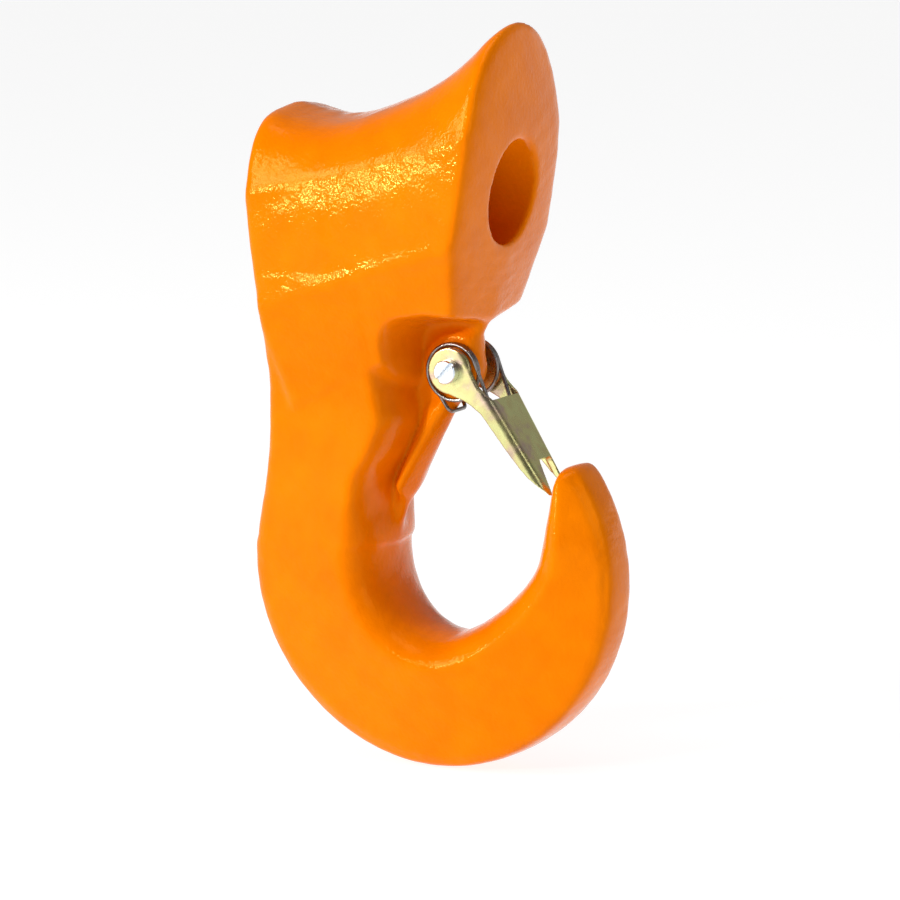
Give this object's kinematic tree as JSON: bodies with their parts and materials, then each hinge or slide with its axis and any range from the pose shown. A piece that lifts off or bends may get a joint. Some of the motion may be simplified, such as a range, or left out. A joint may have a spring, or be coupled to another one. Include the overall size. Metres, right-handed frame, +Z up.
{
  "type": "sliding choker hook",
  "caption": "Forged hook that slides on a wire rope through a slanted saddle bore, with a deep round bowl and a sprung sheet-steel latch that shuts against the nose.",
  "frame": {"origin": "middle of the rope bore in the head", "axes": "+X towards the hook's mouth, +Y through the thickness towards the lock nut, +Z up from the bowl to the saddle"},
  "size_m": [0.1209, 0.063, 0.2277],
  "materials": {
    "orange_paint": "thick glossy powder coat over a forged skin",
    "yellow_zinc": "zinc plate with a yellow iridescent passivation",
    "spring_steel": "dark drawn wire",
    "blue_zinc": "bright zinc plate",
    "nylon": "plain moulded nylon"
  },
  "bodies": {
    "hook": {"hook_body": "orange_paint", "latch_spring": "spring_steel", "pivot_screw": "blue_zinc", "lock_nut": "blue_zinc", "nut_insert": "nylon"},
    "latch": {"latch": "yellow_zinc"}
  },
  "joints": [
    {"name": "latch_hinge", "type": "hinge", "parent": "hook", "child": "latch", "pos_m": [0.02175, 0, -0.0402], "axis": [0, 1, 0], "range_deg": [0, 50], "stiffness_Nm_per_rad": 0.3, "springref_deg": -34.38, "deforming": ["latch_spring"]}
  ]
}
